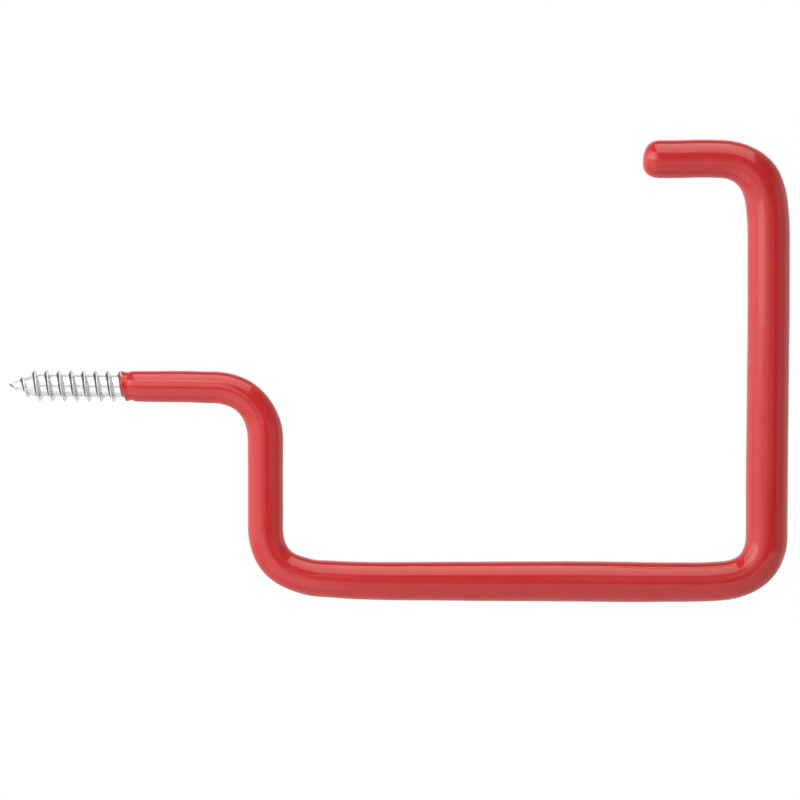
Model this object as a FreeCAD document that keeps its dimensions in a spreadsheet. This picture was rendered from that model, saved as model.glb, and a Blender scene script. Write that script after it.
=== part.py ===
# Garage utility hook: a bent steel wire with a rolled wood-screw end, dipped in soft red vinyl.
#
# Frame: X runs out from the wall, Z is up, and the hook lies in the XZ plane.
# The origin is on the screw's axis, in the wall's face, where the vinyl begins.
# Lengths are in millimetres and angles in degrees.

import FreeCAD
import Part

import math
import os

import Sketcher
from FreeCAD import Vector

OUTPUT_FOLDER = "parts"

# Alias, value and meaning of each driving size.
SIZES = [
    ("wire_diameter", 5.6, "steel wire before the thread is rolled"),
    ("neck_reach", 32.4, "wall face to the leg's centreline"),
    ("drop", 45.1, "screw axis down to the bar's centreline"),
    ("bar_length", 116.0, "leg centreline to upright centreline"),
    ("upright_height", 97.45, "bar centreline up to the tip arm's centreline"),
    ("tip_return", 29.2, "upright centreline back to the coated tip"),
    ("neck_bend", 12.0, "centreline radius, neck into leg"),
    ("heel_bend", 12.8, "centreline radius, leg into bar"),
    ("toe_bend", 10.4, "centreline radius, bar into upright"),
    ("crown_bend", 10.8, "centreline radius, upright into tip arm"),
    ("thread_length", 26.6, "wall face to the end of the screw's point"),
    ("thread_major", 7.46, "diameter over the thread"),
    ("thread_root", 5.06, "diameter between the threads"),
    ("thread_pitch", 2.82, "nine threads to the inch"),
    ("thread_lead", 5.83, "end of the point to the first full thread"),
    ("thread_runout", 0.4, "how far the last thread runs past the wall face"),
    ("flank_angle", 25.0, "each flank of the thread, from the radius"),
    ("ridge_rooting", 0.45, "how deep the ridge is rooted in the core"),
    ("point_length", 6.0, "tapered length of the core"),
    ("point_flat", 0.5, "diameter of the blunt end of the point"),
    ("point_bare", 0.95, "bare end of the point, ahead of its thread"),
    ("point_ridge", 0.05, "height that the thread would have at the end of the point"),
    ("shoulder_start", 0.7, "wall face to where the core begins to swell"),
    ("shoulder_end", 1.5, "wall face to where the plain wire begins"),
    ("coat_rim", 0.65, "vinyl thickness at the rim"),
    ("coat_neck", 1.08, "vinyl thickness round the neck bend"),
    ("coat_heel", 1.36, "vinyl thickness round the heel bend"),
    ("coat_toe", 1.95, "vinyl thickness round the toe bend"),
    ("coat_crown", 2.15, "vinyl thickness round the crown bend"),
    ("coat_tip", 1.60, "vinyl thickness at the tip"),
    ("coat_end", 1.5, "vinyl beyond the end of the wire"),
    ("tip_round", 3.4, "rounding of the vinyl's closed end"),
    ("rim_slant", 1.4, "lean of the rim along the screw's axis, top to bottom"),
]

# Runs of the vinyl, in the order of the path's edges, with its thickness at each end.
# The hook was held by its thread and dipped, so the coat thickens with depth along the straights.
COAT_RUNS = [
    ("neck", "coat_rim", "coat_neck"),
    ("neck_bend", "coat_neck", "coat_neck"),
    ("leg", "coat_neck", "coat_heel"),
    ("heel_bend", "coat_heel", "coat_heel"),
    ("bar", "coat_heel", "coat_toe"),
    ("toe_bend", "coat_toe", "coat_toe"),
    ("upright", "coat_toe", "coat_crown"),
    ("crown_bend", "coat_crown", "coat_crown"),
    ("tip_arm", "coat_crown", "coat_tip"),
]

# Mitred steps in each bend of the wire, which the vinyl hides.
BEND_STEPS = 4

# Two places nearer than this are the same place.
CLOSE = 0.01


def sized(text):
    """Write the plain aliases in a formula as references to the size sheet."""
    for alias in sorted((row[0] for row in SIZES), key=len, reverse=True):
        text = text.replace("$" + alias, "<<Sizes>>." + alias)
    return text


def add_sheet(doc):
    sheet = doc.addObject("Spreadsheet::Sheet", "Sizes")
    for row, (alias, value, meaning) in enumerate(SIZES, start=1):
        sheet.set("A%d" % row, alias)
        sheet.set("B%d" % row, str(value))
        sheet.set("C%d" % row, meaning)
        sheet.setAlias("B%d" % row, alias)
    doc.recompute()
    return sheet


def origin_part(body, role):
    for feature in body.Origin.OriginFeatures:
        if feature.Role == role:
            return feature
    raise ValueError("no origin feature " + role)


def add_body(doc, name):
    body = doc.addObject("PartDesign::Body", name)
    doc.recompute()
    return body


def side_sketch(body, name):
    """Sketch in the hook's own plane: sketch x is X and sketch y is Z."""
    sketch = body.newObject("Sketcher::SketchObject", name)
    sketch.AttachmentSupport = (origin_part(body, "XZ_Plane"), "")
    sketch.MapMode = "FlatFace"
    return sketch


def bind(sketch, kind, references, formula):
    """Add a dimension to a sketch and drive it by a formula of the sheet's sizes."""
    value = float(sketch.evalExpression(sized(formula)))
    number = sketch.addConstraint(Sketcher.Constraint(kind, *references, value))
    sketch.setExpression("Constraints[%d]" % number, sized(formula))


def place_point(sketch, geometry, end, formulas):
    """Hold one end of a line at two formulas; a zero keeps it on the axis."""
    x_formula, y_formula = formulas
    if y_formula == "0":
        sketch.addConstraint(Sketcher.Constraint("PointOnObject", geometry, end, -1))
    else:
        bind(sketch, "DistanceY", (-1, 1, geometry, end), y_formula)
    bind(sketch, "DistanceX", (-1, 1, geometry, end), x_formula)


def add_lines(sketch, corners, closed=True):
    """Chain of straight lines whose corners are pairs of formulas."""
    points = []
    for x_formula, y_formula in corners:
        x = float(sketch.evalExpression(sized(x_formula)))
        y = float(sketch.evalExpression(sized(y_formula)))
        points.append(Vector(x, y, 0))
    if closed:
        points.append(points[0])
    for first, second in zip(points, points[1:]):
        sketch.addGeometry(Part.LineSegment(first, second))
    last = len(points) - 2
    for i in range(last):
        sketch.addConstraint(Sketcher.Constraint("Coincident", i, 2, i + 1, 1))
    if closed:
        sketch.addConstraint(Sketcher.Constraint("Coincident", last, 2, 0, 1))
    for i, formulas in enumerate(corners):
        if i <= last:
            place_point(sketch, i, 1, formulas)
        else:
            place_point(sketch, last, 2, formulas)


def coat_path(body):
    """Centreline of the hook: five straight runs joined by four quarter bends."""
    start = "-$rim_slant"
    stop = "$tip_return"
    sketch = side_sketch(body, "coat_path")

    def size(formula):
        return float(sketch.evalExpression(sized(formula)))

    leg_x = size("$neck_reach")
    bar_z = -size("$drop")
    upright_x = leg_x + size("$bar_length")
    tip_z = bar_z + size("$upright_height")
    neck = size("$neck_bend")
    heel = size("$heel_bend")
    toe = size("$toe_bend")
    crown = size("$crown_bend")

    def line(x0, z0, x1, z1):
        sketch.addGeometry(Part.LineSegment(Vector(x0, z0, 0), Vector(x1, z1, 0)))

    def quarter(x, z, radius, from_degrees):
        circle = Part.Circle(Vector(x, z, 0), Vector(0, 0, 1), radius)
        first = math.radians(from_degrees)
        sketch.addGeometry(Part.ArcOfCircle(circle, first, first + math.pi / 2))

    line(size(start), 0, leg_x - neck, 0)
    quarter(leg_x - neck, -neck, neck, 0)
    line(leg_x, -neck, leg_x, bar_z + heel)
    quarter(leg_x + heel, bar_z + heel, heel, 180)
    line(leg_x + heel, bar_z, upright_x - toe, bar_z)
    quarter(upright_x - toe, bar_z + toe, toe, 270)
    line(upright_x, bar_z + toe, upright_x, tip_z - crown)
    quarter(upright_x - crown, tip_z - crown, crown, 0)
    line(upright_x - crown, tip_z, upright_x - size(stop), tip_z)

    # A line or arc, the end of it that meets the next one, then that next one and its end.
    meetings = [(0, 2, 1, 2), (1, 1, 2, 1), (2, 2, 3, 1), (3, 2, 4, 1),
                (4, 2, 5, 1), (5, 2, 6, 1), (6, 2, 7, 1), (7, 2, 8, 1)]
    for first, first_end, second, second_end in meetings:
        sketch.addConstraint(Sketcher.Constraint("Tangent", first, first_end, second, second_end))
    for level in (4, 8):
        sketch.addConstraint(Sketcher.Constraint("Horizontal", level))
    for upright in (2, 6):
        sketch.addConstraint(Sketcher.Constraint("Vertical", upright))
    sketch.addConstraint(Sketcher.Constraint("PointOnObject", 0, 2, -1))
    place_point(sketch, 0, 1, (start, "0"))
    for arc, radius in ((1, "$neck_bend"), (3, "$heel_bend"), (5, "$toe_bend"), (7, "$crown_bend")):
        bind(sketch, "Radius", (arc,), radius)
    bind(sketch, "DistanceX", (-1, 1, 2, 1), "$neck_reach")
    bind(sketch, "DistanceY", (-1, 1, 4, 1), "-$drop")
    bind(sketch, "DistanceX", (2, 1, 6, 1), "$bar_length")
    bind(sketch, "DistanceY", (4, 1, 8, 1), "$upright_height")
    bind(sketch, "DistanceX", (8, 2, 6, 2), stop)
    return sketch


def add_section(body, name, path, edge, place, diameter):
    """Circle square to the path, at a share of one of its edges."""
    sketch = body.newObject("Sketcher::SketchObject", name)
    sketch.AttachmentSupport = (path, "Edge%d" % edge)
    sketch.MapMode = "NormalToEdge"
    sketch.MapPathParameter = place
    radius = float(sketch.evalExpression(sized(diameter))) / 2
    sketch.addGeometry(Part.Circle(Vector(0, 0, 0), Vector(0, 0, 1), radius))
    sketch.addConstraint(Sketcher.Constraint("Coincident", 0, 3, -1, 1))
    bind(sketch, "Diameter", (0,), diameter)
    return sketch


def add_ridge(body, name, profile, height):
    """Thread ridge wound right-handed about the screw's axis."""
    ridge = body.newObject("PartDesign::AdditiveHelix", name)
    ridge.Profile = profile
    ridge.ReferenceAxis = (origin_part(body, "X_Axis"), [""])
    ridge.Mode = "pitch-height-angle"
    ridge.setExpression("Pitch", sized("$thread_pitch"))
    ridge.setExpression("Height", sized(height))
    ridge.LeftHanded = False
    ridge.HasBeenEdited = True
    return ridge


def ridge_profile(body, name):
    """Sharp triangle of the thread, at the first full crest."""
    sketch = side_sketch(body, name)
    crest_x = "$thread_lead - $thread_length"
    foot_r = "$thread_root / 2 - $ridge_rooting"
    height = "($thread_major / 2 - $thread_root / 2 + $ridge_rooting)"
    half_foot = height + " * tan($flank_angle * 1 deg)"
    add_lines(sketch, [
        (crest_x + " - " + half_foot, foot_r),
        (crest_x + " + " + half_foot, foot_r),
        (crest_x, "$thread_major / 2"),
    ])
    return sketch


def stepped_bend(centre_x, centre_z, radius, first_degrees, last_degrees):
    """Corners of a quarter bend in mitred steps that touch the true arc, as formulas."""
    step = (last_degrees - first_degrees) / BEND_STEPS
    reach = 1 / math.cos(math.radians(step / 2))
    corners = []
    for i in range(BEND_STEPS):
        angle = math.radians(first_degrees + (i + 0.5) * step)
        across = "%s + %s * (%.9f)" % (centre_x, radius, reach * math.cos(angle))
        up = "%s + %s * (%.9f)" % (centre_z, radius, reach * math.sin(angle))
        corners.append((across, up))
    return corners


def wire_path(body):
    """Centreline of the wire, from the screw's shoulder to its sheared end."""
    sketch = side_sketch(body, "wire_path")
    upright_x = "$neck_reach + $bar_length"
    tip_z = "$upright_height - $drop"
    corners = [("$shoulder_end", "0")]
    corners += stepped_bend("$neck_reach - $neck_bend", "-$neck_bend", "$neck_bend", 90, 0)
    corners += stepped_bend("$neck_reach + $heel_bend", "$heel_bend - $drop", "$heel_bend", 180, 270)
    corners += stepped_bend(upright_x + " - $toe_bend", "$toe_bend - $drop", "$toe_bend", 270, 360)
    corners += stepped_bend(upright_x + " - $crown_bend", tip_z + " - $crown_bend", "$crown_bend", 0, 90)
    corners.append((upright_x + " - $tip_return + $coat_end", tip_z))
    add_lines(sketch, corners, closed=False)
    return sketch


def build_blank(doc):
    """The wire before its thread is rolled: screw core, shoulder and bent length."""
    body = add_body(doc, "wire_blank")

    outline = side_sketch(body, "core_outline")
    add_lines(outline, [
        ("-$thread_length", "0"),
        ("-$thread_length", "$point_flat / 2"),
        ("$point_length - $thread_length", "$thread_root / 2"),
        ("$shoulder_start", "$thread_root / 2"),
        ("$shoulder_end", "$wire_diameter / 2"),
        ("$shoulder_end", "0"),
    ])
    core = body.newObject("PartDesign::Revolution", "screw_core")
    core.Profile = outline
    core.ReferenceAxis = (origin_part(body, "X_Axis"), [""])
    core.Angle = 360
    doc.recompute()

    path = wire_path(body)
    doc.recompute()
    section = add_section(body, "wire_section", path, 1, 0.0, "$wire_diameter")
    doc.recompute()
    wire = body.newObject("PartDesign::AdditivePipe", "bent_wire")
    wire.Profile = section
    wire.Spine = (path, [])
    wire.Transition = "Right corner"
    doc.recompute()
    return body


def build_shank_ridge(doc):
    """The full thread, from the first full crest to where it runs out under the vinyl."""
    body = add_body(doc, "shank_ridge")
    profile = ridge_profile(body, "shank_profile")
    doc.recompute()
    add_ridge(body, "shank_thread", profile, "$thread_length - $thread_lead + $thread_runout")
    doc.recompute()
    return body


def build_point_ridge(doc):
    """The growing thread on the point, from the first full crest back to the bare end."""
    body = add_body(doc, "point_ridge")
    profile = ridge_profile(body, "point_profile")
    doc.recompute()
    point = add_ridge(body, "point_thread", profile, "$thread_lead - $point_bare")
    point.Reversed = True
    point.setExpression("Angle", sized("-atan(($thread_root - $point_flat) / 2 / $point_length)"))
    doc.recompute()

    # On the point the thread's tops lie on a steeper cone than the core.
    trim = side_sketch(body, "point_trim_outline")
    add_lines(trim, [
        ("-$thread_length", "$point_flat / 2 + $point_ridge"),
        ("$thread_lead - $thread_length", "$thread_major / 2 + $point_ridge"),
        ("$thread_lead - $thread_length", "$thread_major"),
        ("-$thread_length", "$thread_major"),
    ])
    groove = body.newObject("PartDesign::Groove", "point_trim")
    groove.Profile = trim
    groove.ReferenceAxis = (origin_part(body, "X_Axis"), [""])
    groove.Angle = 360
    doc.recompute()
    return body


def coat_run(body, path, edge, name, first, last):
    """Vinyl along one edge of the path: even round a bend, tapered along a straight."""
    diameter = "$wire_diameter + 2 * $"
    beginning = add_section(body, name + "_beginning", path, edge, 0.0, diameter + first)
    sections = []
    if last != first:
        ending = add_section(body, name + "_ending", path, edge, 1.0, diameter + last)
        sections.append((ending, ""))
    body.Document.recompute()
    run = body.newObject("PartDesign::AdditivePipe", "coat_" + name)
    run.Profile = beginning
    run.Spine = (path, ["Edge%d" % edge])
    if sections:
        run.Sections = sections
        run.Transformation = "Multisection"


def build_coat_outside(doc):
    """The vinyl as a solid, before the wire is taken out of it."""
    body = add_body(doc, "coat_outside")
    path = coat_path(body)
    doc.recompute()

    for edge, (name, first, last) in enumerate(COAT_RUNS, start=1):
        coat_run(body, path, edge, name, first, last)
        doc.recompute()
    last_run = body.Tip

    rounding = body.newObject("PartDesign::Fillet", "tip_rounding")
    rounding.Base = (last_run, [end_edge(doc, last_run)])
    rounding.setExpression("Radius", sized("min($tip_round; 0.9 * ($wire_diameter / 2 + $coat_tip))"))
    doc.recompute()

    rim = side_sketch(body, "rim_outline")
    reach = "($wire_diameter + 2 * $coat_rim)"
    add_lines(rim, [
        ("-$rim_slant", reach),
        ("$rim_slant", "-" + reach),
        ("-3 * $rim_slant", "-" + reach),
        ("-3 * $rim_slant", reach),
    ])
    cut = body.newObject("PartDesign::Pocket", "slanted_rim")
    cut.Profile = rim
    cut.Type = "ThroughAll"
    cut.Midplane = True
    doc.recompute()
    return body


def end_edge(doc, feature):
    """Name of the circle that closes the tip."""
    sheet = doc.getObject("Sizes")
    tip_x = sheet.neck_reach + sheet.bar_length - sheet.tip_return
    tip_z = sheet.upright_height - sheet.drop
    target = Vector(tip_x, 0, tip_z)
    for number, edge in enumerate(feature.Shape.Edges, start=1):
        if (edge.CenterOfMass - target).Length < CLOSE:
            return "Edge%d" % number
    raise ValueError("the tip's closing circle was not found")


def check(doc):
    """Stop when a feature is in error or a shape is broken."""
    for item in doc.Objects:
        if "Error" in item.State or "Invalid" in item.State:
            raise RuntimeError("%s: %s" % (item.Name, item.State))
        shape = getattr(item, "Shape", None)
        if shape is None or shape.isNull():
            continue
        if not shape.isValid():
            raise RuntimeError(item.Name + ": the shape is not valid")
        if item.TypeId.startswith("PartDesign::") and not shape.Solids:
            raise RuntimeError(item.Name + ": no solid")


def write_node(item, name):
    shape = item.Shape
    if len(shape.Solids) != 1:
        raise RuntimeError("%s: %d solids" % (name, len(shape.Solids)))
    shape.Solids[0].exportStep(os.path.join(OUTPUT_FOLDER, name + ".step"))


def main():
    doc = FreeCAD.newDocument("utility_hook")
    add_sheet(doc)
    blank = build_blank(doc)
    shank = build_shank_ridge(doc)
    point = build_point_ridge(doc)
    steel = doc.addObject("Part::MultiFuse", "steel_hook")
    steel.Shapes = [blank, shank, point]
    outside = build_coat_outside(doc)
    sleeve = doc.addObject("Part::Cut", "coat_sleeve")
    sleeve.Base = outside
    sleeve.Tool = blank
    coat = doc.addObject("Part::Cut", "vinyl_coat")
    coat.Base = sleeve
    coat.Tool = shank
    doc.recompute()
    check(doc)
    os.makedirs(OUTPUT_FOLDER, exist_ok=True)
    write_node(steel, "steel_hook")
    write_node(coat, "vinyl_coat")


main()
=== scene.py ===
import math

import bpy
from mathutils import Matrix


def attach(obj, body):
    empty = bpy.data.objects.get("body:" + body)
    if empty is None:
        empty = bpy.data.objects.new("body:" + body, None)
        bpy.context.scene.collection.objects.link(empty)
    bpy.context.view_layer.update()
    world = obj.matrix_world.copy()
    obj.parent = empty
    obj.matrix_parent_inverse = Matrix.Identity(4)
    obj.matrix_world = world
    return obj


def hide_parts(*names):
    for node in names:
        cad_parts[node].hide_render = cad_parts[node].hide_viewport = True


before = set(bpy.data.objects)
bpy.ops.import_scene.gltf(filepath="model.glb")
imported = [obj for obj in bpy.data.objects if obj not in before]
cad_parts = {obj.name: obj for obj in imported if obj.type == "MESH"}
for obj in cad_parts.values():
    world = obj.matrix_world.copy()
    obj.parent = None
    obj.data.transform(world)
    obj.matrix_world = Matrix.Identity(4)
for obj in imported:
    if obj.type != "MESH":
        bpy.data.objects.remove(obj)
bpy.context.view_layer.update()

MM = 0.001

# Centreline of the hook, from the screw's point to the coated tip. The sizes are those of the solids,
# but for a tip that returns 0.2 mm less.
THREAD_LENGTH = 26.6 * MM
NECK_REACH = 32.4 * MM
DROP = 45.1 * MM
BAR_LENGTH = 116.0 * MM
UPRIGHT_HEIGHT = 97.45 * MM
TIP_RETURN = 29.0 * MM
NECK_BEND = 12.0 * MM
HEEL_BEND = 12.8 * MM
TOE_BEND = 10.4 * MM
CROWN_BEND = 10.8 * MM

ROUTE_SIZES = {
    "Thread Length": THREAD_LENGTH,
    "Neck Reach": NECK_REACH,
    "Drop": DROP,
    "Bar Length": BAR_LENGTH,
    "Upright Height": UPRIGHT_HEIGHT,
    "Tip Return": TIP_RETURN,
    "Neck Bend": NECK_BEND,
    "Heel Bend": HEEL_BEND,
    "Toe Bend": TOE_BEND,
    "Crown Bend": CROWN_BEND,
}

# Straight runs and quarter bends of the vinyl, from the wall face to the tip.
COAT_RUNS = [
    NECK_REACH - NECK_BEND,
    NECK_BEND * math.pi / 2,
    DROP - NECK_BEND - HEEL_BEND,
    HEEL_BEND * math.pi / 2,
    BAR_LENGTH - HEEL_BEND - TOE_BEND,
    TOE_BEND * math.pi / 2,
    UPRIGHT_HEIGHT - TOE_BEND - CROWN_BEND,
    CROWN_BEND * math.pi / 2,
    TIP_RETURN - CROWN_BEND,
]
COAT_LENGTH = sum(COAT_RUNS)

# Radius over the vinyl in mm, along each of those runs: share of the run and radius.
COAT_RADII = [
    [(0.0, 3.50), (0.2, 3.57), (0.5, 3.62)],
    [(0.0, 3.69), (0.5, 3.80), (0.75, 3.97)],
    [(0.0, 4.13), (0.5, 4.08)],
    [(0.0, 4.10), (0.35, 4.02), (0.7, 4.16)],
    [(0.0, 4.27), (0.3, 4.51), (0.5, 4.63), (0.7, 4.69), (0.85, 4.60)],
    [(0.0, 4.53), (0.25, 4.48), (0.5, 4.60), (0.8, 4.82)],
    [(0.0, 4.85), (0.5, 4.87)],
    [(0.0, 4.91), (0.3, 4.91), (0.5, 4.82), (0.75, 4.55)],
    [(0.0, 4.43), (1.0, 4.42)],
]

# How far the wire was bent off that line, in mm to the left as it is followed from its point.
BENT_OFF = [
    [(0.0, 0.0), (0.4, -0.09), (0.7, -0.10)],
    [(0.0, -0.28), (0.3, -0.12), (0.5, 0.02), (0.8, 0.0)],
    [(0.0, 0.09), (0.9, 0.09)],
    [(0.17, -0.01), (0.33, -0.18), (0.5, 0.05), (0.67, 0.54), (0.83, 0.84)],
    [(0.0, 0.77), (0.1, 0.31), (0.2, 0.17), (0.6, 0.13), (0.9, -0.07)],
    [(0.0, 0.29), (0.2, 0.44), (0.5, 0.28), (0.8, 0.43)],
    [(0.0, 0.45), (0.4, 0.24), (0.7, -0.01), (0.9, -0.03)],
    [(0.0, 0.40), (0.17, 0.49), (0.33, 0.25), (0.5, 0.09), (0.8, 0.10)],
    [(0.0, 0.05), (0.2, -0.07), (0.6, 0.06), (1.0, 0.05)],
]

# Lowest and highest value in mm that the curves through those two tables can show.
RADIUS_SPAN = (3.0, 5.0)
BENT_SPAN = (-1.0, 1.0)

WIRE_RADIUS = 2.8 * MM
END_WALL = 1.5 * MM

# How finely the centreline and the skins are divided.
BEND_POINTS = 90
ROUTE_POINTS = 1300
BENT_OFF_SMOOTHING = 30
SKIN_AROUND = 72
CAP_ROWS = 4
SEAM_GAP = 0.002 * MM

# The part of a noise mask's range that most of its values lie in.
MASK_LOW = 0.3
MASK_HIGH = 0.7

WHITE = (1.0, 1.0, 1.0)
WARM_ROOM = (1.0, 0.95, 0.87)
WARM_LAMP = (1.0, 0.96, 0.87)

# Each lamp's place, the point that it faces, its width and height, and its radiance.
LAMPS = {
    "overhead_box": ((0.19, -0.40, 0.70), (0.19, -0.40, 0.0), (0.62, 1.1), 1.7),
    "front_box": ((-0.12, -0.26, 0.16), (-0.12, 0.0, 0.16), (0.325, 0.28), 1.65),
    "left_box": ((-0.54, -0.28, 0.35), (0.10, 0.0, 0.0), (0.8, 0.56), 1.75),
    "low_box": ((-0.03, -0.11, -0.11), (-0.03, 0.0, 0.0), (0.14, 0.18), 0.5),
    "right_box": ((0.16, -0.15, 0.01), (0.16, 0.0, 0.01), (0.12, 0.08), 0.4),
}

# Angle in degrees that a lamp shines into, where it isn't the whole half space.
LAMP_SPREADS = {"overhead_box": 140.0}
HALF_SPACE = 180.0


class Field:
    """A value in a node tree. Sums on it add Math nodes to that tree."""

    def __init__(self, tree, socket):
        self.tree = tree
        self.socket = socket

    def __add__(self, other):
        return self.tree.math("ADD", self, other)

    __radd__ = __add__

    def __sub__(self, other):
        return self.tree.math("SUBTRACT", self, other)

    def __rsub__(self, other):
        return self.tree.math("SUBTRACT", other, self)

    def __mul__(self, other):
        return self.tree.math("MULTIPLY", self, other)

    __rmul__ = __mul__

    def __truediv__(self, other):
        return self.tree.math("DIVIDE", self, other)


class Tree:
    """A node tree under construction: of a material, the world, a group or a modifier."""

    def __init__(self, tree):
        self.tree = tree

    def join(self, value, socket):
        """Link a field to a socket, or set the socket to a plain value."""
        if isinstance(value, Field):
            self.tree.links.new(value.socket, socket)
        else:
            socket.default_value = value

    def node(self, kind, values=None, **settings):
        """Add a node; values go to its sockets by name or number."""
        node = self.tree.nodes.new(kind)
        for name, setting in settings.items():
            setattr(node, name, setting)
        for name, value in (values or {}).items():
            self.join(value, node.inputs[name])
        return node

    def out(self, node, name=0):
        return Field(self, node.outputs[name])

    def math(self, operation, *values):
        numbered = dict(enumerate(values))
        return self.out(self.node("ShaderNodeMath", numbered, operation=operation))

    def vector(self, x, y, z):
        return self.out(self.node("ShaderNodeCombineXYZ", {0: x, 1: y, 2: z}))

    def parts(self, vector):
        node = self.node("ShaderNodeSeparateXYZ", {0: vector})
        return [self.out(node, i) for i in range(3)]

    def ramp(self, value, start, stop, low=0.0, high=1.0, smooth=False):
        """From low to high as the value goes from start to stop, and held at both ends."""
        values = {"Value": value, "From Min": start, "From Max": stop, "To Min": low, "To Max": high}
        kind = "SMOOTHSTEP" if smooth else "LINEAR"
        return self.out(self.node("ShaderNodeMapRange", values, interpolation_type=kind))

    def blend(self, share, first, second):
        """A colour between two, by a share that changes over the surface."""
        node = self.node("ShaderNodeMix", {"Factor": share}, data_type="RGBA")
        inputs = [socket for socket in node.inputs if socket.type == "RGBA"]
        for socket, colour in zip(inputs, (first, second)):
            self.join(colour if isinstance(colour, Field) else (*colour, 1.0), socket)
        outputs = [socket for socket in node.outputs if socket.type == "RGBA"]
        return Field(self, outputs[0])


class Group(Tree):
    """A node group with named inputs and outputs."""

    def __init__(self, name, kind):
        super().__init__(bpy.data.node_groups.new(name, kind))
        self.entry = self.tree.nodes.new("NodeGroupInput")
        self.exit = self.tree.nodes.new("NodeGroupOutput")
        self.values = {}

    def size(self, name, value, kind="NodeSocketFloat"):
        """A named input, with the value that the piece gives it."""
        socket = self.tree.interface.new_socket(name, in_out="INPUT", socket_type=kind)
        self.values[socket.identifier] = value
        return Field(self, self.entry.outputs[socket.identifier])

    def result(self, value, name, kind):
        self.tree.interface.new_socket(name, in_out="OUTPUT", socket_type=kind)
        self.join(value, self.exit.inputs[name])


class Shape(Group):
    """A geometry node tree."""

    def __init__(self, name):
        super().__init__(name, "GeometryNodeTree")

    def pick(self, kind, choices):
        """One of the choices for each point, by the point's number."""
        node = self.node("GeometryNodeIndexSwitch", data_type=kind)
        while len(node.index_switch_items) < len(choices):
            node.index_switch_items.new()
        self.join(self.out(self.node("GeometryNodeInputIndex")), node.inputs["Index"])
        for number, choice in enumerate(choices):
            self.join(choice, node.inputs[number + 1])
        return self.out(node)

    def sheet(self, rows, around):
        """A flat sheet to be wrapped round the wire: its mesh, and each point's row and angle."""
        sides = {"Size X": rows, "Size Y": around, "Vertices X": rows + 1, "Vertices Y": around + 1}
        grid = self.node("GeometryNodeMeshGrid", sides)
        x, y, _ = self.parts(self.out(self.node("GeometryNodeInputPosition")))
        row = self.math("ROUND", x + rows / 2)
        column = self.math("ROUND", y + around / 2)
        return self.out(grid), row, column / (around / (2 * math.pi))


def coat_curve(tree, share, runs, span):
    """A smooth curve through the stations of each run, by the share of the way from rim to tip."""
    lowest, highest = span
    stations = []
    for number, run in enumerate(runs):
        start = sum(COAT_RUNS[:number])
        stations += [((start + part * COAT_RUNS[number]) / COAT_LENGTH, size) for part, size in run]
    node = tree.node("ShaderNodeFloatCurve", {"Value": share})
    points = node.mapping.curves[0].points
    while len(points) < len(stations):
        points.new(0.5, 0.5)
    for point, (place, size) in zip(points, stations):
        point.location = (place, (size - lowest) / (highest - lowest))
        point.handle_type = "AUTO_CLAMPED"
    node.mapping.update()
    return (tree.out(node) * (highest - lowest) + lowest) * MM


def bend_off(tree, line):
    """Move the centreline sideways to where the wire was really bent."""
    along = tree.out(tree.node("GeometryNodeSplineParameter"), "Length")
    off = coat_curve(tree, (along - THREAD_LENGTH) / COAT_LENGTH, BENT_OFF, BENT_SPAN)
    blurred = {0: off, "Iterations": BENT_OFF_SMOOTHING}
    off = tree.out(tree.node("GeometryNodeBlurAttribute", blurred, data_type="FLOAT"))
    ahead, _, rise = tree.parts(tree.out(tree.node("GeometryNodeInputTangent")))
    move = tree.vector(0.0 - rise * off, 0.0, ahead * off)
    return tree.out(tree.node("GeometryNodeSetPosition", {"Geometry": line, "Offset": move}))


def route_group():
    """Node group for the bent centreline: two ends and four rounded corners."""
    tree = Shape("hook_route")
    sizes = {name: tree.size(name, value) for name, value in ROUTE_SIZES.items()}
    upright_x = sizes["Neck Reach"] + sizes["Bar Length"]
    bar_z = 0.0 - sizes["Drop"]
    tip_z = bar_z + sizes["Upright Height"]
    corners = [
        tree.vector(0.0 - sizes["Thread Length"], 0.0, 0.0),
        tree.vector(sizes["Neck Reach"], 0.0, 0.0),
        tree.vector(sizes["Neck Reach"], 0.0, bar_z),
        tree.vector(upright_x, 0.0, bar_z),
        tree.vector(upright_x, 0.0, tip_z),
        tree.vector(upright_x - sizes["Tip Return"], 0.0, tip_z),
    ]
    bend_names = ("Neck Bend", "Heel Bend", "Toe Bend", "Crown Bend")
    bends = [0.0, *(sizes[name] for name in bend_names), 0.0]
    line = tree.out(tree.node("GeometryNodeMeshLine", {"Count": len(corners)}))
    place = tree.pick("VECTOR", corners)
    line = tree.out(tree.node("GeometryNodeSetPosition", {"Geometry": line, "Position": place}))
    line = tree.out(tree.node("GeometryNodeMeshToCurve", {"Mesh": line}))
    rounded = {"Curve": line, "Radius": tree.pick("FLOAT", bends), "Count": BEND_POINTS}
    line = tree.out(tree.node("GeometryNodeFilletCurve", rounded, mode="POLY"))
    even = {"Curve": line, "Count": ROUTE_POINTS}
    line = tree.out(tree.node("GeometryNodeResampleCurve", even, mode="COUNT"))
    tree.result(bend_off(tree, line), "Route", "NodeSocketGeometry")
    return tree.tree


def add_route(tree, group):
    """The centreline in a piece's own tree, with the same named sizes, and its length."""
    node = tree.node("GeometryNodeGroup", node_tree=group)
    for name, value in ROUTE_SIZES.items():
        tree.join(tree.size(name, value), node.inputs[name])
    route = tree.out(node, "Route")
    return route, tree.out(tree.node("GeometryNodeCurveLength", {"Curve": route}))


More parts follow.
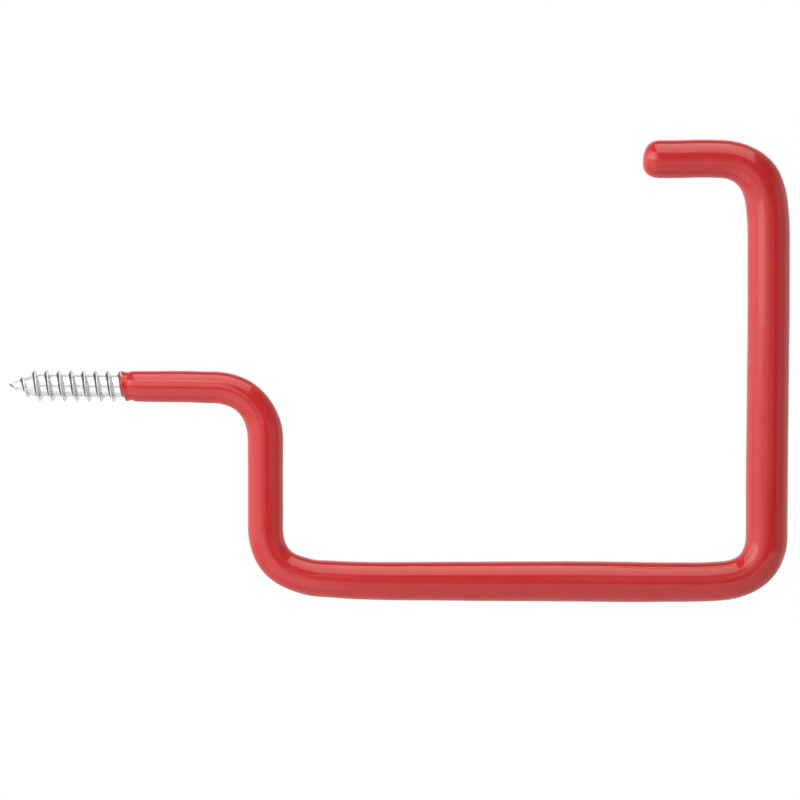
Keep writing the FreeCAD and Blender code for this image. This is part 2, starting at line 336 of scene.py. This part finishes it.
def wrap(tree, sheet, route, along, angle, radius):
    """Wrap a sheet round the centreline; on the screw, the angle goes from the top by the front."""
    sample = tree.node("GeometryNodeSampleCurve", {"Curves": route, "Length": along}, mode="LENGTH")
    x, _, z = tree.parts(tree.out(sample, "Position"))
    ahead, _, rise = tree.parts(tree.out(sample, "Tangent"))
    over = radius * tree.math("COSINE", angle)
    front = radius * tree.math("SINE", angle)
    place = tree.vector(x - over * rise, 0.0 - front, z + over * ahead)
    return tree.out(tree.node("GeometryNodeSetPosition", {"Geometry": sheet, "Position": place}))


def finish_tree(tree, skin, material):
    """Close the seam and the poles, and end the tree as a plain mesh with its material."""
    finish = tree.size("Finish", material, "NodeSocketMaterial")
    steps = {
        "GeometryNodeMergeByDistance": {"Distance": SEAM_GAP},
        "GeometryNodeSetShadeSmooth": {"Shade Smooth": True},
        "GeometryNodeRealizeInstances": {},
        "GeometryNodeSetMaterial": {"Material": finish},
    }
    for kind, values in steps.items():
        skin = tree.out(tree.node(kind, {"Geometry": skin, **values}))
    tree.result(skin, "Geometry", "NodeSocketGeometry")


def make_piece(name, tree):
    """Run a tree once and keep its result as a plain mesh."""
    holder = bpy.data.objects.new(name + "_holder", bpy.data.meshes.new(name + "_holder"))
    bpy.context.scene.collection.objects.link(holder)
    modifier = holder.modifiers.new("shape", "NODES")
    modifier.node_group = tree.tree
    for identifier, value in tree.values.items():
        modifier[identifier] = value
    evaluated = holder.evaluated_get(bpy.context.evaluated_depsgraph_get())
    mesh = bpy.data.meshes.new_from_object(evaluated)
    mesh.name = name
    holder.modifiers.remove(modifier)
    bpy.data.objects.remove(holder)
    piece = bpy.data.objects.new(name, mesh)
    bpy.context.scene.collection.objects.link(piece)
    return piece


def drift(tree, along, cosine, sine):
    """Slow noise over the vinyl, from -0.5 to 0.5, that is longer than it is wide."""
    rate_along = 90.0
    rate_around = 0.45
    place = tree.vector(along * rate_along, cosine * rate_around, sine * rate_around)
    noise = tree.node("ShaderNodeTexNoise", {"Vector": place, "Scale": 1.0, "Detail": 1.5})
    return tree.out(noise) - 0.5


def build_coat(route, material):
    """Dipped vinyl: a closed sleeve with a domed tip and a slanting lip behind the last thread."""
    tree = Shape("dipped_coat")
    centreline, tip = add_route(tree, route)
    dome_depth = tree.size("Dome Depth", 4.3 * MM)
    dome_skew = tree.size("Dome Skew", 0.13)
    bore = tree.size("Bore Radius", WIRE_RADIUS)
    end_wall = tree.size("End Wall", END_WALL)
    tip_lean = tree.size("Tip Lean", 0.42 * MM)
    lip_lean = tree.size("Lip Lean", 0.69 * MM)
    lip_sag = tree.size("Lip Sag", 0.42 * MM)
    lip_round = tree.size("Lip Round", 0.33 * MM)
    groove_depth = tree.size("Groove Depth", 0.33 * MM)
    waviness = tree.size("Waviness", 0.06 * MM)

    # Distances from the rim or the tip that these forms reach or lie at.
    rim = THREAD_LENGTH
    lip_reach = 4.5 * MM
    groove_place = 1.1 * MM
    groove_width = 0.65 * MM
    calm_rim = 6.0 * MM
    lean_reach = 9.0 * MM
    blunt = 0.80

    # The rows go from the tip's pole over the dome, down the outside, round the lip and up the bore.
    dome_rows, outer_rows, lip_rows, bore_rows = 22, 600, 12, 200
    dome_end = dome_rows
    outer_end = dome_end + outer_rows
    lip_end = outer_end + lip_rows
    bore_end = lip_end + bore_rows
    sheet, row, angle = tree.sheet(bore_end + CAP_ROWS, SKIN_AROUND)
    dome = tree.ramp(row, 0, dome_end) * (math.pi / 2)
    outside = tree.ramp(row, dome_end, outer_end)
    lip = tree.ramp(row, outer_end, lip_end)
    inside = tree.ramp(row, lip_end, bore_end)
    closing = tree.ramp(row, bore_end, bore_end + CAP_ROWS)
    cosine = tree.math("COSINE", angle)
    sine = tree.math("SINE", angle)

    # The dome is deeper on one side, so that its lower corner is the rounder one.
    deep = dome_depth * (1.0 + dome_skew * cosine)
    dome_back = deep * (1.0 - tree.math("POWER", tree.math("COSINE", dome), blunt))
    run = (tip - rim - deep) * outside
    bulge = lip_round * tree.math("SINE", lip * math.pi)
    back = (tip - rim - end_wall) * inside
    along = tip - dome_back - run - bulge + back

    # The lip follows the last turn of the thread: it reaches towards the point at its top and its sides.
    near_rim = tree.ramp(along, rim + lip_reach, rim, smooth=True)
    shift = (lip_lean * cosine + lip_sag * sine * sine) * near_rim

    share = (along - rim) / (tip - rim)
    outer = coat_curve(tree, share, COAT_RADII, RADIUS_SPAN)
    groove = (along - rim - groove_place) / groove_width
    outer = outer - groove_depth * tree.math("EXPONENT", 0.0 - groove * groove)
    wave = drift(tree, along, cosine, sine) * waviness * 2.0
    outer = outer + wave * tree.ramp(along, rim, rim + calm_rim)
    swell = tree.math("POWER", tree.math("SINE", dome), blunt)
    outer = outer * swell
    near_tip = tree.ramp(along, tip - lean_reach, tip - dome_depth, smooth=True)
    shift = shift - tip_lean * cosine * swell * near_tip * (1.0 - inside)
    turned_in = 0.5 - tree.math("COSINE", lip * math.pi) * 0.5
    radius = (outer + (bore - outer) * turned_in) * (1.0 - closing)

    skin = wrap(tree, sheet, centreline, along - shift, angle, radius)
    finish_tree(tree, skin, material)
    return make_piece("vinyl_dip", tree)


def flank_shade_line(tree, off_crest):
    """Mask of a line of painted shade at the foot of the flank that faces the point."""
    from_root = tree.ramp(off_crest, -0.74 * MM, -0.58 * MM, smooth=True)
    to_crest = tree.ramp(off_crest, -0.12 * MM, -0.26 * MM, smooth=True)
    return from_root * to_crest


def ridge_kept(tree, turns):
    """Share of the ridge's height that is left: its last turn flattens, then sinks under the lip."""
    flatter = tree.ramp(turns, 7.02, 7.25, 1.0, 0.72, smooth=True)
    sinking = tree.ramp(turns, 7.5, 7.66, 1.0, 0.0, smooth=True)
    return flatter * sinking


def build_steel(route, material):
    """Screw point, rolled thread and bent wire as one skin whose rows run along the thread."""
    tree = Shape("threaded_wire")
    centreline, tip = add_route(tree, route)
    pitch = tree.size("Thread Pitch", 2.82 * MM)
    major = tree.size("Thread Radius", 3.73 * MM)
    root = tree.size("Root Radius", 2.53 * MM)
    wire = tree.size("Wire Radius", WIRE_RADIUS)
    lead = tree.size("Thread Lead", 5.83 * MM)
    point_length = tree.size("Point Length", 6.0 * MM)
    point_blunt = tree.size("Point Blunt", 0.25 * MM)
    crest_round = tree.size("Crest Round", 0.07 * MM)
    root_round = tree.size("Root Round", 0.30 * MM)
    end_wall = tree.size("End Wall", END_WALL)

    # The nose of the point, and where thread and shoulder end under the vinyl.
    flank_angle = 25.0
    nose_length = 0.3 * MM
    nose_round = 0.4 * MM
    thread_end = THREAD_LENGTH + 2.0 * MM
    shoulder_start = THREAD_LENGTH + 0.7 * MM
    shoulder_end = THREAD_LENGTH + 1.5 * MM

    # Each row climbs one pitch in a turn, so that crests and roots lie on rows.
    turn_count = 8
    pitch_rows = 32
    rows_before = 99
    rows_after = 8
    thread_rows = rows_before + turn_count * pitch_rows + rows_after
    wire_rows = 160
    wire_end = thread_rows + wire_rows
    sheet, row, angle = tree.sheet(wire_end + CAP_ROWS, SKIN_AROUND)
    turn = angle / (2 * math.pi)
    climb = (row - rows_before) / pitch_rows
    on_thread = tree.math("MAXIMUM", lead + (climb + turn) * pitch, 0.0)
    on_thread = tree.math("MINIMUM", on_thread, thread_end)
    on_wire = tree.ramp(row, thread_rows, wire_end)
    along = on_thread + on_wire * (tip - end_wall - thread_end)

    # Core: a gimlet point, a plain root, and a shoulder up to the wire's own size.
    taper = (root - point_blunt) / point_length
    blunt = point_blunt * tree.math("SQRT", tree.ramp(along, 0.0, nose_length))
    core = tree.math("MINIMUM", blunt + along * taper, root)
    shoulder = tree.ramp(along, shoulder_start, shoulder_end, smooth=True)
    core = core + (wire - root) * shoulder

    # Ridge: a V that grows along the point and sinks under the vinyl's lip.
    number = tree.math("ROUND", climb)
    off_crest = (climb - number) * pitch
    turns = number + turn
    crest = tree.ramp(lead + turns * pitch, 0.0, lead, point_blunt, major)
    sunk = core - root_round
    crest = sunk + (crest - sunk) * ridge_kept(tree, turns)
    rounded = tree.math("SQRT", off_crest * off_crest + crest_round * crest_round) - crest_round
    ridge = crest - rounded / math.tan(math.radians(flank_angle))
    skin_radius = tree.math("SMOOTH_MAX", core, ridge, root_round)
    at_point = tree.ramp(along, 0.0, nose_round)
    closing = tree.ramp(row, wire_end, wire_end + CAP_ROWS)
    radius = skin_radius * tree.math("SQRT", at_point) * (1.0 - closing)

    # Painted shade: a dark line along each ridge's flank that faces the point, stored for the zinc's
    # colour.
    painted_flank_shade = flank_shade_line(tree, off_crest) * tree.ramp(row, thread_rows, thread_rows - 1)
    stored = {"Geometry": sheet, "Name": "painted_flank_shade", "Value": painted_flank_shade}
    sheet = tree.out(tree.node("GeometryNodeStoreNamedAttribute", stored, data_type="FLOAT"))

    skin = wrap(tree, sheet, centreline, along, angle, radius)
    skin = tree.out(tree.node("GeometryNodeFlipFaces", {"Mesh": skin}))
    finish_tree(tree, skin, material)
    return make_piece("threaded_wire", tree)


def uneven_group():
    """Shader node group for the unevenness of a dipped or plated skin: a broad and a fine mask."""
    group = Group("uneven_skin", "ShaderNodeTree")
    vector = group.size("Vector", None, "NodeSocketVector")
    for name, detail in (("Broad", 2.0), ("Fine", 3.0)):
        scale = group.size(name + " Scale", None)
        values = {"Vector": vector, "Scale": scale, "Detail": detail}
        noise = group.node("ShaderNodeTexNoise", values)
        group.result(group.out(noise), name, "NodeSocketFloat")
    return group.tree


def new_finish(name, uneven, broad_scale, fine_scale):
    """A material on Object coordinates with the shared unevenness: its tree, shader and masks."""
    material = bpy.data.materials.new(name)
    material.use_nodes = True
    tree = Tree(material.node_tree)
    place = tree.out(tree.node("ShaderNodeTexCoord"), "Object")
    scales = {"Vector": place, "Broad Scale": broad_scale, "Fine Scale": fine_scale}
    masks = tree.node("ShaderNodeGroup", node_tree=uneven)
    for socket, value in scales.items():
        tree.join(value, masks.inputs[socket])
    shader = tree.tree.nodes["Principled BSDF"]
    return material, tree, shader, tree.out(masks, "Broad"), tree.out(masks, "Fine")


def relief(tree, shader, height, depth):
    """Give a shader the small relief of a mask."""
    bump = tree.node("ShaderNodeBump", {"Strength": 1.0, "Distance": depth, "Height": height})
    tree.join(tree.out(bump), shader.inputs["Normal"])


def red_vinyl(uneven):
    """Glossy dipped vinyl, slightly uneven in colour and gloss."""
    finish = new_finish("red_vinyl_dip", uneven, broad_scale=140.0, fine_scale=900.0)
    material, tree, shader, broad, fine = finish
    red = tree.blend(broad, (0.455, 0.020, 0.024), (0.515, 0.027, 0.030))
    tree.join(red, shader.inputs["Base Color"])
    gloss = tree.ramp(broad, MASK_LOW, MASK_HIGH, low=0.10, high=0.16)
    tree.join(gloss, shader.inputs["Roughness"])
    relief(tree, shader, fine, depth=0.006 * MM)
    shader.inputs["IOR"].default_value = 1.5
    return material


def bright_zinc(uneven):
    """Bright zinc plate, with painted shade where the piece's own mask marks the flank line: dark there,
    and duller.
    """
    finish = new_finish("bright_zinc_plate", uneven, broad_scale=420.0, fine_scale=2600.0)
    material, tree, shader, broad, fine = finish
    painted_flank_shade = tree.out(tree.node("ShaderNodeAttribute", attribute_name="painted_flank_shade"), "Fac")
    zinc_colour = tree.blend(broad, (0.70, 0.73, 0.78), (0.77, 0.80, 0.84))
    # Painted shade: along the masked flank line the zinc is coloured near black.
    shade_painted_zinc = tree.blend(painted_flank_shade, zinc_colour, (0.04, 0.04, 0.045))
    tree.join(shade_painted_zinc, shader.inputs["Base Color"])
    # The painted shade line is also made rougher.
    shade_roughening = 0.2
    gloss = tree.ramp(fine, MASK_LOW, MASK_HIGH, low=0.16, high=0.26) + painted_flank_shade * shade_roughening
    tree.join(gloss, shader.inputs["Roughness"])
    relief(tree, shader, broad, depth=0.004 * MM)
    shader.inputs["Metallic"].default_value = 0.5
    return material


def mount_piece(piece, node):
    """Put a piece on the hook's one body, in the place of a solid."""
    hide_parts(node)
    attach(piece, "root")


def ray_kinds(tree):
    """Masks for what the camera sees straight, and for what it sees in metal or through glass."""
    path = tree.node("ShaderNodeLightPath")
    glossy_ray = tree.out(path, "Is Glossy Ray")
    mirrored = tree.math("MAXIMUM", glossy_ray, tree.out(path, "Is Transmission Ray"))
    camera_ray = tree.out(path, "Is Camera Ray")
    return camera_ray, mirrored * (1.0 - camera_ray)


def pale_floor(half):
    """A pale, matt material that fades to white towards the edge of a square floor."""
    fade_start = half * 0.6
    fade_end = half * 0.98
    material = bpy.data.materials.new("pale_floor")
    material.use_nodes = True
    tree = Tree(material.node_tree)
    shader = tree.tree.nodes["Principled BSDF"]
    camera_ray, mirrored_ray = ray_kinds(tree)
    shader.inputs["Base Color"].default_value = (0.90, 0.93, 0.97, 1.0)
    shader.inputs["Roughness"].default_value = 0.9
    x, y, _ = tree.parts(tree.out(tree.node("ShaderNodeTexCoord"), "Object"))
    far = tree.ramp(tree.math("SQRT", x * x + y * y), fade_start, fade_end, smooth=True)
    far = far * (camera_ray + mirrored_ray)
    white = tree.out(tree.node("ShaderNodeEmission"))
    mixed = tree.node("ShaderNodeMixShader", {0: far, 1: tree.out(shader), 2: white})
    tree.join(tree.out(mixed), tree.tree.nodes["Material Output"].inputs["Surface"])
    return material


def studio_floor():
    """A pale floor well under the hook, which fades into the white round it."""
    half = 0.5
    mesh = bpy.data.meshes.new("studio_floor")
    corners = [(-half, -half, 0), (half, -half, 0), (half, half, 0), (-half, half, 0)]
    mesh.from_pydata(corners, [], [(0, 1, 2, 3)])
    floor = bpy.data.objects.new("studio_floor", mesh)
    floor.location = (0.063, -0.05, -0.16)
    bpy.context.scene.collection.objects.link(floor)
    mesh.materials.append(pale_floor(half))


def softbox(name, place, target, size, radiance):
    """A flat, slightly warm lamp that faces a target; its radiance is what a mirror would show."""
    width, height = size
    lamp = bpy.data.lights.new(name, "AREA")
    lamp.spread = math.radians(LAMP_SPREADS.get(name, HALF_SPACE))
    lamp.color = WARM_LAMP
    lamp.shape = "RECTANGLE"
    lamp.size = width
    lamp.size_y = height
    lamp.energy = radiance * math.pi * width * height
    box = bpy.data.objects.new(name, lamp)
    box.location = place
    away = [a - b for a, b in zip(place, target)]
    flat = math.hypot(away[0], away[1])
    box.rotation_euler = (math.atan2(flat, away[2]), 0.0, math.atan2(away[0], -away[1]))
    box.visible_camera = False
    bpy.context.scene.collection.objects.link(box)


def studio_world():
    """White for the camera, and far behind the hook for mirrored rays. Otherwise a dim, warm room.

    The room is brightest at the left, and lighter at the right and the back than at the front.
    """
    everywhere, back_light, left_light, right_light = 0.06, 0.4, 1.6, 0.55
    world = bpy.data.worlds.new("studio")
    world.use_nodes = True
    tree = Tree(world.node_tree)
    x, y, z = tree.parts(tree.out(tree.node("ShaderNodeTexCoord"), "Generated"))
    level = tree.ramp(tree.math("ABSOLUTE", z), 0.6, 0.15, smooth=True)
    back = tree.ramp(y, -0.15, 0.25, smooth=True) * tree.ramp(z, 0.92, 0.78, smooth=True)
    left = tree.ramp(x, 0.12, -0.75) * tree.ramp(y, 0.6, -0.2, low=0.4, high=1.0) * level
    right = tree.ramp(x, 0.65, 0.9, smooth=True) * level
    light = everywhere + back * back_light + left * left_light + right * right_light
    camera_ray, mirrored_ray = ray_kinds(tree)
    seen = camera_ray + mirrored_ray * tree.ramp(y, 0.5, 0.9, smooth=True)
    background = tree.tree.nodes["Background"]
    tree.join(light * (1.0 - seen) + seen, background.inputs["Strength"])
    tree.join(tree.blend(seen, WARM_ROOM, WHITE), background.inputs["Color"])
    bpy.context.scene.world = world


def camera():
    """A long lens square to the hook's plane; the picture's width spans 184.3 mm there."""
    distance = 1.02
    span = 0.18432
    data = bpy.data.cameras.new("camera")
    data.sensor_width = 36.0
    data.lens = data.sensor_width * distance / span
    data.clip_start = 0.01
    eye = bpy.data.objects.new("camera", data)
    eye.location = (0.06347, -distance, -0.0032)
    eye.rotation_euler = (math.pi / 2, 0.0, 0.0)
    bpy.context.scene.collection.objects.link(eye)
    bpy.context.scene.camera = eye


uneven = uneven_group()
route = route_group()
coat = build_coat(route, red_vinyl(uneven))
steel = build_steel(route, bright_zinc(uneven))
mount_piece(coat, "vinyl_coat")
mount_piece(steel, "steel_hook")

studio_floor()
studio_world()
for name, (place, target, size, radiance) in LAMPS.items():
    softbox(name, place, target, size, radiance)
camera()

bpy.context.scene.view_settings.view_transform = "Standard"
